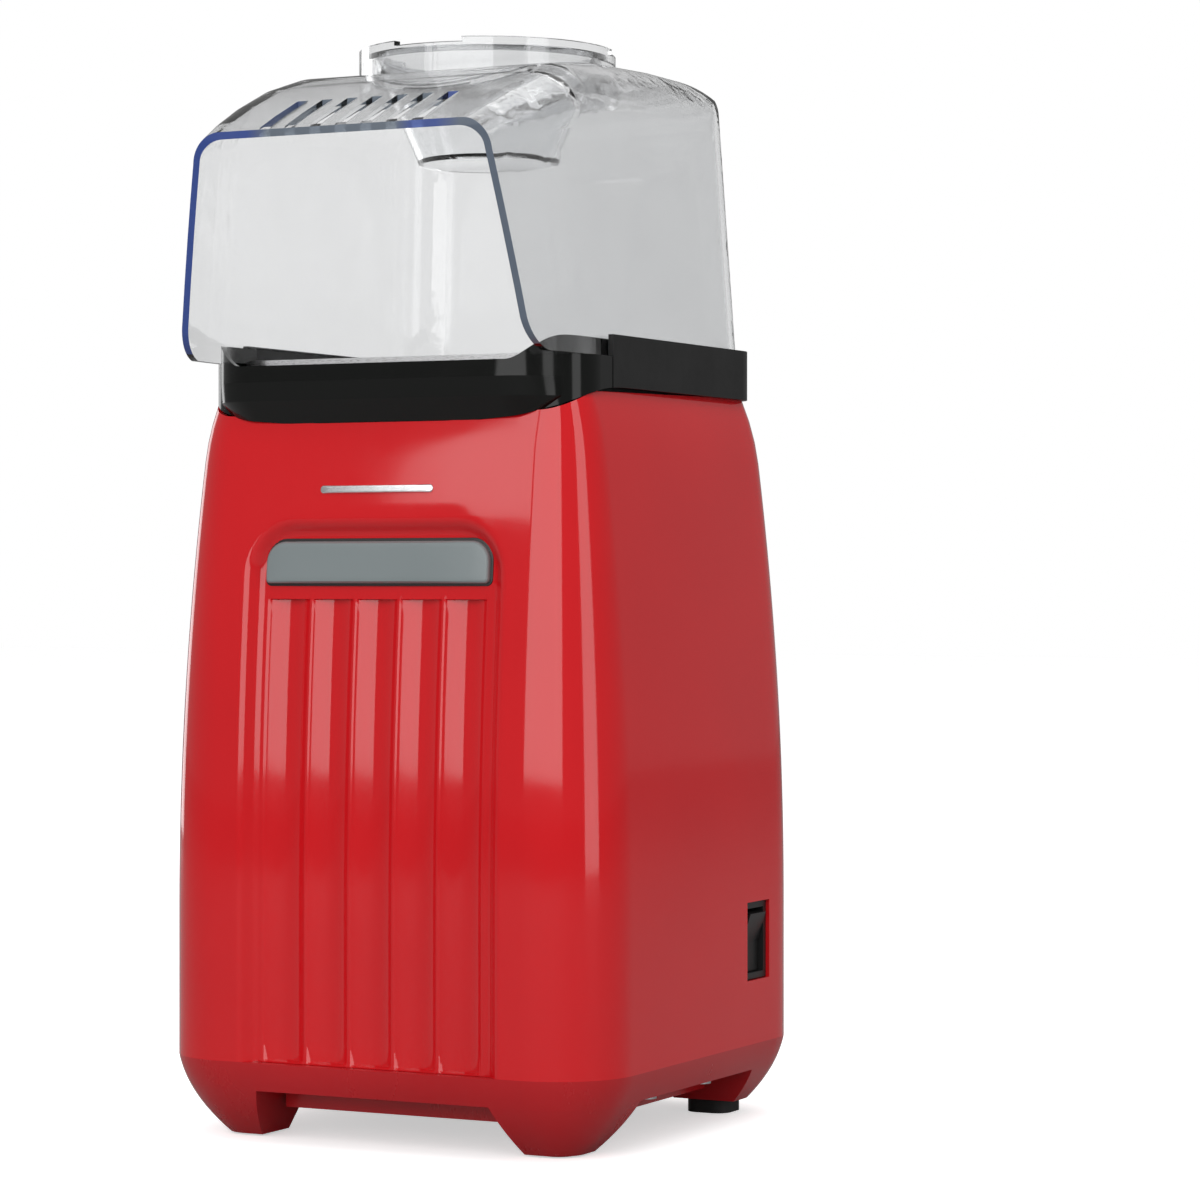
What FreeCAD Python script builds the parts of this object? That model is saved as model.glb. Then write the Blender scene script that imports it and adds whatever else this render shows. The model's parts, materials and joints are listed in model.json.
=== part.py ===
import FreeCAD, Part
import math
import os

from FreeCAD import Vector

os.makedirs("parts", exist_ok=True)

# Driving dimensions, millimetres. The popping chamber's axis is X = 0, Y = 0 while the parts
# are built; write() then moves everything so that the origin is the middle of the footprint.
BODY_HALF = 67.2        # half width and half depth of the body at its base
CORNER = 45.8           # distance of every body corner's centre line from the axis
SEAM_Z = 21.6           # seam between skirt and housing
HOUSING_TOP = 200.0
WALL = 2.4
PANEL_DEPTH = 3.0       # depth of the front panel's floor below the front surface
PANEL_TOP = 163.4
FLUTE_PITCH = 13.3
FLUTE_DEPTH = 1.7
FOOT_HALF = 35.0        # half width of the arches between the feet
ARCH_TOP = 13.8
TRAY_Z = 7.9
TRAY_HALF = 50.0
LEDGE_Z = 208.0         # the hood's lower edge rests here
RIM_Z = 212.6           # top of the collar's inner wall
BAND_Z = 213.7          # top of the collar's outer band
BAND_FRONT_Y = -37.0
BAND_HALF = 57.4
SPOUT_Y = -64.8         # front of the collar's lip
LIP_HALF = 53.0
LIP_Z = 206.3
DECK_Z = 203.0
HOOD_HALF = 55.6
HOOD_WALL = 2.0
MOUTH_Y = -80.9
NECK_R = 35.4
TOP_Z = 295.0
CHAMBER_R = 44.0
CHAMBER_FLOOR = 118.0
SHEET = 0.8
SHIELD_R = 49.5
FAN_Z = 66.0            # underside of the fan housing
MOTOR_R = 18.0
SHAFT_R = 1.6
LEG_XY = 28.0
SWITCH_Y = 33.0
SWITCH_Z = 50.0
GLAND_Z = 36.0
GLAND_Y = 69.7          # outer face of the cord gland
THROAT_Y = 67.3         # the gland's bore is narrow only behind this
AXIS_Y = (-MOUTH_Y - GLAND_Y) / 2.0

UP = Vector(0, 0, 1)


def inset(z):
    """How far the body's surface stands inside BODY_HALF at height z."""
    lean = 5.1 * (max(0.0, z - 60.0) / 103.0) ** 2
    shoulder = 0.0075 * max(0.0, z - 182.0) ** 2
    return lean + shoulder


def smooth(t):
    t = min(1.0, max(0.0, t))
    return t * t * (3 - 2 * t)


def seam_height(x, y):
    """Height of the seam between housing and collar, which dips at the front."""
    across = 1 - 0.26 * smooth((abs(x) - 18.0) / 28.0)
    back = max(0.0, -20.0 - y) / 38.0
    return HOUSING_TOP - 9.5 * across * back ** 4


def box(x0, x1, y0, y1, z0, z1):
    return Part.makeBox(x1 - x0, y1 - y0, z1 - z0, Vector(x0, y0, z0))


def cylinder(radius, x, y, z0, z1):
    return Part.makeCylinder(radius, z1 - z0, Vector(x, y, z0))


def tube(outer, inner, z0, z1, x=0.0, y=0.0):
    return cylinder(outer, x, y, z0, z1).cut(cylinder(inner, x, y, z0 - 1, z1 + 1))


def rod_x(radius, x0, x1, y, z):
    return Part.makeCylinder(radius, x1 - x0, Vector(x0, y, z), Vector(1, 0, 0))


def rod_y(radius, y0, y1, x, z):
    return Part.makeCylinder(radius, y1 - y0, Vector(x, y0, z), Vector(0, 1, 0))


def fuse(shapes):
    shapes = list(shapes)
    return shapes[0].multiFuse(shapes[1:])


def cut_each(shape, tools):
    for tool in tools:
        shape = shape.cut(tool)
    return shape


def polygon(points):
    corners = [Vector(*p) for p in points]
    return Part.Face(Part.makePolygon(corners + corners[:1]))


def revolve(points, angle=360.0):
    """Solid of revolution about Z from (radius, z) corners."""
    return polygon([(r, 0, z) for r, z in points]).revolve(Vector(), UP, angle)


def turned(shape, angle, centre=Vector(), axis=UP):
    copy = shape.copy()
    copy.rotate(centre, axis, angle)
    return copy


def around(shape, count, start=0.0):
    return [turned(shape, start + 360.0 * i / count) for i in range(count)]


def corners_of(x, y):
    return [(sx * x, sy * y) for sx in (-1, 1) for sy in (-1, 1)]


def move_y(shape, distance):
    copy = shape.copy()
    copy.translate(Vector(0, distance, 0))
    return copy


def plan_wire(half_x, y_low, y_high, r_front, r_back, z):
    """A rectangle in plan with rounded corners, anticlockwise from the front right corner."""
    corners = [(half_x - r_front, y_low + r_front, r_front, -90),
               (half_x - r_back, y_high - r_back, r_back, 0),
               (r_back - half_x, y_high - r_back, r_back, 90),
               (r_front - half_x, y_low + r_front, r_front, 180)]
    arcs = []
    for x, y, r, start in corners:
        angles = [math.radians(start + turn) for turn in (0, 45, 90)]
        arcs.append([Vector(x + r * math.cos(a), y + r * math.sin(a), z) for a in angles])
    edges = []
    for i, arc in enumerate(arcs):
        edges.append(Part.Arc(*arc).toShape())
        edges.append(Part.makeLine(arc[2], arcs[(i + 1) % 4][0]))
    return Part.Wire(edges)


def prism(half, radius, z0, z1, front=None, front_radius=None):
    """Upright solid on a rounded square plan, whose front may stand further out."""
    y_low = -half if front is None else front
    r_front = radius if front_radius is None else front_radius
    wire = plan_wire(half, y_low, half, r_front, radius, z0)
    return Part.Face(wire).extrude(Vector(0, 0, z1 - z0))


def body_profile(depth_out, depth_in, z0, z1, skin=inset):
    """Face between two depths under the body's surface, as (distance from CORNER, z)."""
    steps = 12
    heights = [z0 + (z1 - z0) * i / steps for i in range(steps + 1)]
    outer = [Vector(BODY_HALF - CORNER - skin(z) - depth_out, 0, z) for z in heights]
    inner = [Vector(max(0.0, BODY_HALF - CORNER - skin(z) - depth_in), 0, z) for z in heights]
    curves = []
    for points in (outer, inner):
        curve = Part.BSplineCurve()
        curve.interpolate(points)
        curves.append(curve.toShape())
    bottom = Part.makeLine(outer[0], inner[0])
    top = Part.makeLine(outer[-1], inner[-1])
    return Part.Face(Part.Wire(Part.__sortEdges__(curves + [bottom, top])))


def ring(profile):
    """Carry a profile, placed outwards from CORNER, round the rounded square."""
    pieces = []
    for i in range(4):
        corner = profile.revolve(Vector(), UP, 90)
        corner.translate(Vector(CORNER, CORNER, 0))
        side = profile.extrude(Vector(0, 2 * CORNER, 0))
        side.translate(Vector(CORNER, -CORNER, 0))
        pieces += [turned(corner, 90 * i), turned(side, 90 * i)]
    return fuse(pieces)


def front_slab(depth_out, depth_in, half_x, z0, z1):
    """Part of the front wall between two depths under its surface."""
    slab = body_profile(depth_out, depth_in, z0, z1).extrude(Vector(0, 2 * half_x, 0))
    slab.translate(Vector(CORNER, -half_x, 0))
    return turned(slab, -90)


def front_prism(half_x, z0, z1, radius_top, radius_bottom=0.0):
    """Block through the front wall with rounded corners, seen from the front."""
    block = box(-half_x, half_x, -75, -50, z0, z1)
    for radius, z in ((radius_top, z1), (radius_bottom, z0)):
        if radius:
            level = [e for e in block.Edges if abs(e.Length - 25) < 1e-6 and abs(e.CenterOfMass.z - z) < 1e-6]
            block = block.makeFillet(radius, level)
    return block


def above_seam():
    """Everything above the seam between housing and collar."""
    span = [-76.0 + 4.0 * i for i in range(39)]
    surface = Part.BSplineSurface()
    surface.interpolate([[Vector(x, y, seam_height(x, y)) for y in span] for x in span])
    return surface.toShape().extrude(Vector(0, 0, 90))


def lead(points, radius):
    """Insulated wire: straight runs joined by tangent arcs."""
    points = [Vector(*p) for p in points]
    edges = []
    start = points[0]
    for before, here, after in zip(points, points[1:], points[2:]):
        into = (here - before).normalize()
        out = (after - here).normalize()
        turn = math.acos(max(-1.0, min(1.0, into.dot(out))))
        run = 0.45 * min((here - before).Length, (after - here).Length)
        bend = run / math.tan(turn / 2)
        first = here - into * run
        last = here + out * run
        inward = (out - into).normalize()
        middle = here + inward * (bend / math.cos(turn / 2) - bend)
        edges += [Part.makeLine(start, first), Part.Arc(first, middle, last).toShape()]
        start = last
    edges.append(Part.makeLine(start, points[-1]))
    path = Part.Wire(edges)
    section = Part.Wire(Part.makeCircle(radius, points[0], (points[1] - points[0]).normalize()))
    return path.makePipeShell([section], True, False)


def write(node, shapes):
    """Export one node's solids, moved to the middle of the footprint."""
    solids = [solid for shape in shapes for solid in shape.Solids]
    whole = solids[0] if len(solids) == 1 else Part.makeCompound(solids)
    for solid in solids:
        if not solid.isValid() or solid.Volume <= 0:
            print("BAD SOLID", node)
    print(node, len(solids), round(whole.Volume, 1))
    move_y(whole, AXIS_Y).exportStep("parts/" + node + ".step")


def boss_with_rib(x, y, radius, z0, z1, rib_z0, rib_z1, reach):
    """Screw boss in a corner of the housing, with a rib out to the corner wall."""
    rib = box(0, reach, -1.0, 1.0, rib_z0, rib_z1)
    rib = turned(rib, math.degrees(math.atan2(y, x)))
    rib.translate(Vector(x, y, 0))
    return cylinder(radius, x, y, z0, z1).fuse(rib)


def housing_shell(upper):
    """Main casing: tapered walls with the recessed fluted panel, screw bosses and openings."""
    wall = ring(body_profile(0, WALL, SEAM_Z, HOUSING_TOP))
    inside = [front_slab(1.5, 6.6, 40.0, SEAM_Z, 168.0)]
    inside += [boss_with_rib(x, y, 4.2, 16.0, 46.0, 27.0, 44.0, 19.2) for x, y in corners_of(46.5, 46.5)]
    inside += [boss_with_rib(x, y, 4.0, 168.0, 200.8, 170.0, 192.0, 15.8) for x, y in corners_of(42.0, 42.0)]
    inside.append(rod_y(11.0, 62.2, 65.2, 0, GLAND_Z))
    shell = wall.multiFuse(inside)
    recess = front_prism(37.5, SEAM_Z - 1, PANEL_TOP, 12.0).common(
        front_slab(-1.0, PANEL_DEPTH, 40.0, SEAM_Z - 1, 168.0))
    cuts = [recess]
    for i in range(-2, 3):
        cuts.append(flute(i * FLUTE_PITCH))
    cuts.append(front_prism(*ACCENT_BLOCK).common(front_slab(-1.0, 0.6, 30.0, 168.0, 180.0)))
    cuts.append(box(60.0, 75.0, SWITCH_Y - 7.3, SWITCH_Y + 7.3, SWITCH_Z - 10.8, SWITCH_Z + 10.8))
    cuts.append(rod_y(5.8, 60.0, 75.0, 0, GLAND_Z))
    cuts += [cylinder(1.5, x, y, 15.0, 42.0) for x, y in corners_of(46.5, 46.5)]
    cuts += [cylinder(1.3, x, y, 182.0, 202.0) for x, y in corners_of(42.0, 42.0)]
    cuts.append(upper)
    return cut_each(shell, cuts)


ACCENT_BLOCK = (17.0, 172.3, 174.5, 1.05, 1.05)


def flute(x):
    """Cutter for one upright concave flute, which follows the panel's curve."""
    half = 5.6
    sections = []
    for z in [23.4 + 121.1 * i / 10 for i in range(11)]:
        face_y = -(BODY_HALF - inset(z) - PANEL_DEPTH)
        left = Vector(x - half, face_y - 0.5, z)
        right = Vector(x + half, face_y - 0.5, z)
        arc = Part.Arc(left, Vector(x, face_y + FLUTE_DEPTH, z), right).toShape()
        sections.append(Part.Wire([arc, Part.makeLine(right, left)]))
    return Part.makeLoft(sections, True, False)


def skirt_inset(z):
    """The skirt's sides lean in towards the floor, more steeply low down."""
    depth = SEAM_Z - z
    return 0.022 * depth ** 2 + 0.19 * depth


def base_skirt():
    """Foot ring under the casing, with an arch in each side and a tongue that centres the casing."""
    filled = ring(body_profile(0, BODY_HALF, 0.5, SEAM_Z, skirt_inset))
    filled = filled.fuse(box(-CORNER, CORNER, -CORNER, CORNER, 0.5, SEAM_Z))
    wall = ring(body_profile(0, WALL, 0.5, SEAM_Z, skirt_inset))
    foot_boxes = fuse([box(min(0, x), max(0, x), min(0, y), max(0, y), 0.5, ARCH_TOP - 0.05)
                       for x, y in corners_of(80.0, 80.0)])
    feet = filled.common(foot_boxes).cut(box(-30, 30, -80, 80, -1, 30)).cut(box(-80, 80, -30, 30, -1, 30))
    pads = fuse([box(min(53 * sx, 64 * sx), max(53 * sx, 64 * sx), y - 4, y + 4, 13.9, 16.9)
                 for sx in (-1, 1) for y in (-17, 17)])
    pads = pads.common(filled.fuse(box(-55, 55, -40, 40, 10, 20)))
    tongue = prism(64.65, 18.85, 16.0, 24.8).cut(prism(62.65, 16.85, 15.0, 27.0))
    tongue = tongue.cut(box(-41.0, 41.0, -80, -50, 10, 30))
    for x, y in corners_of(46.5, 46.5):
        tongue = tongue.cut(turned(box(0, 100, -1.4, 1.4, 10, 30), math.degrees(math.atan2(y, x))))
    skirt = wall.multiFuse([feet, pads, tongue])
    arch = [(-40.0, 0), (40.0, 0), (FOOT_HALF, ARCH_TOP), (-FOOT_HALF, ARCH_TOP)]
    front_arch = polygon([(x, -80, z - 0.01) for x, z in arch]).extrude(Vector(0, 160, 0))
    cuts = [front_arch, turned(front_arch, 90)]
    for x, y in corners_of(46.5, 46.5):
        cuts += [cylinder(1.7, x, y, -1, 16), cylinder(3.2, x, y, -1, 6.0)]
    cuts += [cylinder(1.6, x, y, 12, 18) for x, y in corners_of(57.0, 17.0)]
    cuts += [box(36, 60, 36, 60, -1, 4.0), box(-60, -36, 36, 60, -1, 4.0)]
    return skirt.cut(fuse(cuts))


def front_foot_pads():
    """Thin rubber discs under the front feet, over the screw heads."""
    return [cylinder(4.4, x, -46.2, 0, 0.5) for x in (-46.2, 46.2)]


def rear_feet():
    """Rubber blocks that carry the rear corners."""
    blocks = []
    for sx in (-1, 1):
        block = box(40.6, 53.4, 40.6, 53.4, 0, 4.0)
        upright = [e for e in block.Edges if abs(e.Length - 4.0) < 1e-6 and e.BoundBox.ZLength > 3.9]
        block = block.makeFillet(4.0, upright).cut(cylinder(3.2, 46.5, 46.5, 2.0, 5.0))
        blocks.append(block if sx > 0 else block.mirror(Vector(), Vector(1, 0, 0)))
    return blocks


def plus_plan(half, notch, z0, z1):
    """Cross-shaped block that leaves room for the four feet."""
    return box(-half, half, -notch, notch, z0, z1).fuse(box(-notch, notch, -half, half, z0, z1))


def bottom_plate():
    """Cross-shaped floor tray with vent slots and the posts that carry the electrical parts."""
    tray = plus_plan(TRAY_HALF, 34.5, TRAY_Z, 19.0).cut(plus_plan(TRAY_HALF - 2, 32.5, TRAY_Z + 2.2, 20.0))
    flange = plus_plan(60.6, 34.4, 17.0, 19.0).cut(plus_plan(TRAY_HALF - 1, 33.5, 16.0, 20.0))
    posts = [cylinder(3.5, x, 45.0, TRAY_Z + 1, 30.9) for x in (-9.0, 9.0)]
    posts += [cylinder(2.0, -34.0, y, TRAY_Z + 1, 12.0) for y in (-11.0, 11.0)]
    plate = tray.multiFuse([flange] + posts)
    vents = []
    for i in range(-4, 5):
        reach = 22.0 - 1.2 * abs(i)
        vents.append(box(6.0 * i - 1.5, 6.0 * i + 1.5, -reach, reach, 5, 12))
    holes = [cylinder(1.7, x, y, 5, 12) for x, y in corners_of(LEG_XY, LEG_XY)]
    holes += [cylinder(1.5, x, y, 15, 20) for x, y in corners_of(57.0, 17.0)]
    holes += [cylinder(1.25, x, 45.0, 20.0, 32.0) for x in (-9.0, 9.0)]
    return plate.cut(fuse(vents + holes))


def screw(x, y, z_head, head_r, head_h, shank_r, tip_z, up=True):
    """Pan-head screw with a cross recess; the head is at z_head and the tip at tip_z."""
    z_low, z_high = (z_head, z_head + head_h)
    head = cylinder(head_r, x, y, z_low, z_high)
    slot_z = z_low if up else z_high - 0.8
    cross = box(x - 0.4, x + 0.4, y - head_r * 0.6, y + head_r * 0.6, slot_z, slot_z + 0.8)
    cross = cross.fuse(box(x - head_r * 0.6, x + head_r * 0.6, y - 0.4, y + 0.4, slot_z, slot_z + 0.8))
    shank = cylinder(shank_r, x, y, z_high, tip_z) if up else cylinder(shank_r, x, y, tip_z, z_low)
    return head.cut(cross).fuse(shank)


def skirt_screws():
    """Long screws up through the feet into the casing."""
    return [screw(x, y, 4.1, 2.9, 1.8, 1.45, 40.0) for x, y in corners_of(46.5, 46.5)]


def tray_screws():
    """Screws that hold the floor tray to the skirt."""
    return [screw(x, y, 11.8, 2.9, 2.0, 1.4, 21.0) for x, y in corners_of(57.0, 17.0)]


def leg_screws():
    """Screws up through the floor tray into the fan housing's legs."""
    return [screw(x, y, 5.8, 2.9, 2.0, 1.4, 26.0) for x, y in corners_of(LEG_XY, LEG_XY)]


def clamp_screws():
    """Screws that hold the cord clamp on its posts."""
    return [screw(x, 45.0, 35.1, 2.4, 1.8, 1.2, 24.0, up=False) for x in (-9.0, 9.0)]


def name_plate():
    """Plain plate with an arched top that lies on the panel's floor."""
    outline = front_prism(33.6, 148.6, 159.7, 5.5, 1.2)
    return outline.common(front_slab(1.0, PANEL_DEPTH, 40.0, 140.0, 165.0))


def accent_bar():
    """Plain inlaid bar above the panel."""
    half, low, high, top_r, low_r = ACCENT_BLOCK
    bar = front_prism(half - 0.05, low + 0.05, high - 0.05, 1.0, 1.0)
    return bar.common(front_slab(-0.3, 0.6, 30.0, 168.0, 180.0))


def lip_top():
    """Cutter that lowers the middle of the lip's upper edge with an S-shaped rise each side."""
    points = []
    for i in range(13):
        t = i / 12.0
        x = 40.0 + 12.0 * t
        points.append(Vector(x, -90, LIP_Z + (RIM_Z - LIP_Z) * smooth(t)))
    rise = Part.BSplineCurve()
    rise.interpolate(points)
    fall = Part.BSplineCurve()
    fall.interpolate([Vector(-p.x, p.y, p.z) for p in reversed(points)])
    end = points[-1]
    edges = [fall.toShape(), Part.makeLine(Vector(-40.0, -90, LIP_Z), Vector(40.0, -90, LIP_Z)),
             rise.toShape(), Part.makeLine(end, Vector(-end.x, -90, RIM_Z))]
    return Part.Face(Part.Wire(Part.__sortEdges__(edges))).extrude(Vector(0, 46, 0))


def collar(upper):
    """Moulding between casing and hood: raised band, tucked-in lip, groove and chamber opening."""
    base = prism(57.2, 13.0, 188.0, LEDGE_Z - 0.05)
    inner_wall = prism(LIP_HALF, 13.0, 202.0, RIM_Z, SPOUT_Y, 16.0)
    tuck = Part.makeLoft([plan_wire(50.0, -57.9, 30.0, 12.0, 5.0, 190.6),
                          plan_wire(53.0, -63.4, 30.0, 15.0, 5.0, 197.0),
                          plan_wire(LIP_HALF, SPOUT_Y, 30.0, 16.0, 5.0, 202.4)], True, True)
    band = prism(BAND_HALF, 13.2, 199.3, BAND_Z).cut(prism(55.9, 11.7, LEDGE_Z - 0.05, 220.0))
    band = band.cut(box(-70, 70, -70, BAND_FRONT_Y, 190, 220))
    tongue = prism(52.4, 8.2, 193.5, 202.0).cut(prism(50.6, 6.4, 190, 203.0))
    outer = base.common(upper).multiFuse([band.common(upper), inner_wall, tuck.common(upper)])
    cavity = prism(51.6, 11.4, DECK_Z, 220.0, -63.0, 14.4)
    lower = prism(54.6, 10.6, 180.0, DECK_Z - 2.0)
    groove_back = prism(55.9, 11.7, LEDGE_Z - 0.05, 220.0).cut(prism(LIP_HALF, 13.0, 200, 221.0))
    shape = outer.cut(cavity).cut(lower).cut(groove_back.cut(box(-70, 70, -70, BAND_FRONT_Y, 190, 220)))
    shape = shape.fuse(tongue)
    cuts = [cylinder(45.3, 0, 0, 180, 220), lip_top()]
    cuts += [cylinder(1.6, x, y, 195, 205) for x, y in corners_of(42.0, 42.0)]
    return shape.cut(fuse(cuts))


def chute_pan():
    """Sheet pan that lines the collar round the chamber's mouth."""
    pan = prism(51.2, 11.0, DECK_Z, 208.6).cut(prism(51.2 - SHEET, 11.0 - SHEET, DECK_Z + SHEET, 210.0))
    cuts = [cylinder(50.2, 0, 0, 200, 212)]
    cuts += [cylinder(1.6, x, y, 200, 206) for x, y in corners_of(42.0, 42.0)]
    return pan.cut(fuse(cuts))


def pan_screws():
    """Screws down through pan and collar into the casing's upper bosses."""
    head_z = DECK_Z + SHEET + 0.02
    return [screw(x, y, head_z, 2.8, 1.7, 1.25, 186.0, up=False) for x, y in corners_of(42.0, 42.0)]


def popping_chamber():
    """Aluminium cup with a ring of slanted air slots just above its floor."""
    outer = CHAMBER_R + SHEET
    cup = revolve([(0, CHAMBER_FLOOR), (outer - 3, CHAMBER_FLOOR), (outer, CHAMBER_FLOOR + 3),
                   (outer, DECK_Z + 0.02), (49.9, DECK_Z + 0.02), (49.9, DECK_Z + SHEET),
                   (CHAMBER_R, DECK_Z + SHEET), (CHAMBER_R, CHAMBER_FLOOR + 3.4),
                   (CHAMBER_R - 2.6, CHAMBER_FLOOR + SHEET), (8, CHAMBER_FLOOR + SHEET),
                   (0, CHAMBER_FLOOR + 4.0)])
    slot = box(CHAMBER_R - 2, CHAMBER_R + 3, -0.9, 0.9, CHAMBER_FLOOR + 5, CHAMBER_FLOOR + 15)
    slot = turned(slot, 24.0, Vector(CHAMBER_R, 0, CHAMBER_FLOOR + 10), Vector(1, 0, 0))
    return cup.cut(fuse(around(slot, 24)))


def chamber_gasket():
    """Ring under the chamber's flange."""
    return tube(48.6, 45.2, 199.4, 200.9)


def heat_shield():
    """Sheet tube round the chamber, which guides the hot air."""
    shield = tube(SHIELD_R, SHIELD_R - 0.6, 96.05, 199.3)
    lead_hole = rod_x(2.6, -55, -40, 0, 101.0)
    return shield.cut(lead_hole)


def mica_plate(lower_half, rings):
    """One plate of the heater's cross, with holes that carry the coils."""
    plate = box(-48.6, 48.6, -0.5, 0.5, 99.0, 115.0)
    feet = box(-48.6, -45.5, -0.5, 0.5, 96.05, 99.0).fuse(box(45.5, 48.6, -0.5, 0.5, 96.05, 99.0))
    z_slot = (98.0, 107.05) if lower_half else (106.95, 116.0)
    plate = plate.fuse(feet).cut(box(-0.6, 0.6, -1, 1, *z_slot))
    holes = [rod_y(1.9, -2, 2, side * r, z) for r, z in rings for side in (-1, 1)]
    return plate.cut(fuse(holes))


COILS = ((14.0, 104.0), (23.0, 108.0), (32.0, 104.0))


def heater_frame():
    """Crossed mica plates that carry the coils."""
    return [mica_plate(True, COILS), turned(mica_plate(False, COILS), 90)]


def heater_coil():
    """Rings of resistance wire in the mica plates."""
    return [Part.makeTorus(r, 1.5, Vector(0, 0, z)) for r, z in COILS]


def fan_housing():
    """Round fan case with an inlet below, on four legs."""
    bowl = revolve([(26, FAN_Z), (50.5, FAN_Z), (50.5, 96), (48.5, 96), (48.5, 68), (26, 68)])
    legs = [cylinder(4.0, x, y, 10.15, FAN_Z + 1) for x, y in corners_of(LEG_XY, LEG_XY)]
    holes = [cylinder(1.5, x, y, 10, 30) for x, y in corners_of(LEG_XY, LEG_XY)]
    holes += around(cylinder(1.4, 0, 31, 60, 70), 3)
    return bowl.multiFuse(legs).cut(fuse(holes))


def fan_impeller():
    """Radial fan: hub, back plate and twelve slanted blades."""
    disc = revolve([(1.65, 72), (38, 72), (38, 73.4), (6, 73.4), (6, 88), (1.65, 88)])
    blade = box(5.5, 37.8, -0.7, 0.7, 73.0, 87.0)
    blade = turned(blade, 14.0, Vector(5.5, 0, 0))
    return disc.multiFuse(around(blade, 12)).cut(cylinder(1.65, 0, 0, 70, 90))


def fan_nut():
    """Hexagon nut that clamps the fan wheel on the shaft."""
    flats = [Vector(4.2 * math.cos(math.radians(60 * i)), 4.2 * math.sin(math.radians(60 * i)), 88.05)
             for i in range(6)]
    nut = Part.Face(Part.makePolygon(flats + flats[:1])).extrude(Vector(0, 0, 2.8))
    return nut.cut(cylinder(1.65, 0, 0, 87, 92))


def motor_can():
    """Motor's case, with tapped holes in its top."""
    can = tube(MOTOR_R, MOTOR_R - 1.2, 26.0, 62.4).fuse(tube(MOTOR_R, 4.0, 62.4, 63.8))
    return can.cut(fuse([cylinder(1.3, x, 0, 60, 66) for x in (-9.0, 9.0)]))


def motor_magnets():
    """Two magnet segments inside the case."""
    arc = revolve([(13.7, 32), (16.7, 32), (16.7, 56), (13.7, 56)], 120)
    return [turned(arc, -60), turned(arc, 120)]


def motor_end_cap():
    """Cap that closes the motor's lower end and carries the brushes."""
    cap = tube(16.7, 4.0, 24.0, 27.9).fuse(tube(5.8, 4.0, 22.4, 24.0))
    arms = [box(8.75, 12.0, -2.0, 2.0, 27.8, 33.0), box(-12.0, -8.75, -2.0, 2.0, 27.8, 33.0)]
    return cap.multiFuse(arms)


def motor_bushes():
    """Plain bearings in the cap and in the case."""
    return [tube(3.95, 1.65, 22.5, 27.5), tube(3.95, 1.65, 60.0, 63.8)]


def motor_brushes():
    """Carbon blocks beside the commutator."""
    return [box(4.75, 8.7, -1.6, 1.6, 28.5, 32.5), box(-8.7, -4.75, -1.6, 1.6, 28.5, 32.5)]


def motor_shaft():
    """Shaft that carries the rotor and the fan."""
    return cylinder(SHAFT_R, 0, 0, 21.8, 94.0)


def rotor_core():
    """Laminated rotor with five winding slots."""
    core = tube(13.2, 1.65, 34.0, 54.0)
    slot = box(6.0, 12.0, -2.2, 2.2, 33, 55).fuse(box(11.0, 14.0, -0.8, 0.8, 33, 55))
    return core.cut(fuse(around(slot, 5)))


def commutator():
    """Barrel with five segments."""
    drum = tube(4.6, 1.65, 28.2, 33.4)
    return drum.cut(fuse(around(box(3.8, 5.0, -0.2, 0.2, 28, 34), 5, 36)))


def motor_bracket():
    """Three-armed plate between the motor and the fan housing."""
    plate = tube(21.0, 6.0, 63.9, 65.9)
    arm = box(-4.5, 4.5, 18.0, 35.0, 63.9, 65.9)
    holes = around(cylinder(1.4, 0, 31, 60, 70), 3) + [cylinder(1.3, x, 0, 60, 70) for x in (-9.0, 9.0)]
    return plate.multiFuse(around(arm, 3)).cut(fuse(holes))


def bracket_screws():
    """Screws up through the bracket's arms into the fan housing."""
    return [turned(screw(0, 31, 62.1, 2.6, 1.75, 1.3, 69.5), 120 * i) for i in range(3)]


def motor_screws():
    """Screws down through the bracket into the motor."""
    return [screw(x, 0, 66.0, 2.2, 1.5, 1.2, 60.5, up=False) for x in (-9.0, 9.0)]


def rectifier_board():
    """Small board with the motor's rectifier."""
    return box(-42.0, -24.5, -15.0, 15.0, 12.05, 13.65)


def rectifier_diodes():
    """Four diodes on the board."""
    return [rod_x(1.4, -37.0, -31.0, y, 15.1) for y in (-8.0, -3.0, 3.0, 8.0)]


def terminal_block():
    """Block where the supply cord's wires end."""
    block = box(-12.0, 12.0, 27.5, 37.5, 10.15, 21.0)
    holes = [rod_y(1.6, 25, 40, x, 15.0) for x in (-8.0, 0.0, 8.0)]
    holes += [cylinder(1.6, x, 32.5, 15, 22) for x in (-8.0, 0.0, 8.0)]
    return block.cut(fuse(holes))


def thermostat():
    """Disc thermostat on the heat shield's left side."""
    return rod_x(7.0, -56.0, -49.6, 0, 114.0)


def thermal_fuse():
    """One-shot fuse beside the thermostat."""
    return cylinder(1.7, -50.5, 14.0, 108.0, 119.0)


def switch_body():
    """Snap-in case with a flange that sits in the wall's pocket."""
    case = box(49.0, 64.6, SWITCH_Y - 7.1, SWITCH_Y + 7.1, SWITCH_Z - 10.6, SWITCH_Z + 10.6)
    flange = box(64.6, 66.2, SWITCH_Y - 7.1, SWITCH_Y + 7.1, SWITCH_Z - 10.6, SWITCH_Z + 10.6)
    well = box(56.0, 70.0, SWITCH_Y - 5.4, SWITCH_Y + 5.4, SWITCH_Z - 8.9, SWITCH_Z + 8.9)
    pivot = rod_y(1.26, SWITCH_Y - 6.4, SWITCH_Y + 6.4, 62.0, SWITCH_Z)
    return case.fuse(flange).cut(well).cut(pivot)


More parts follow.
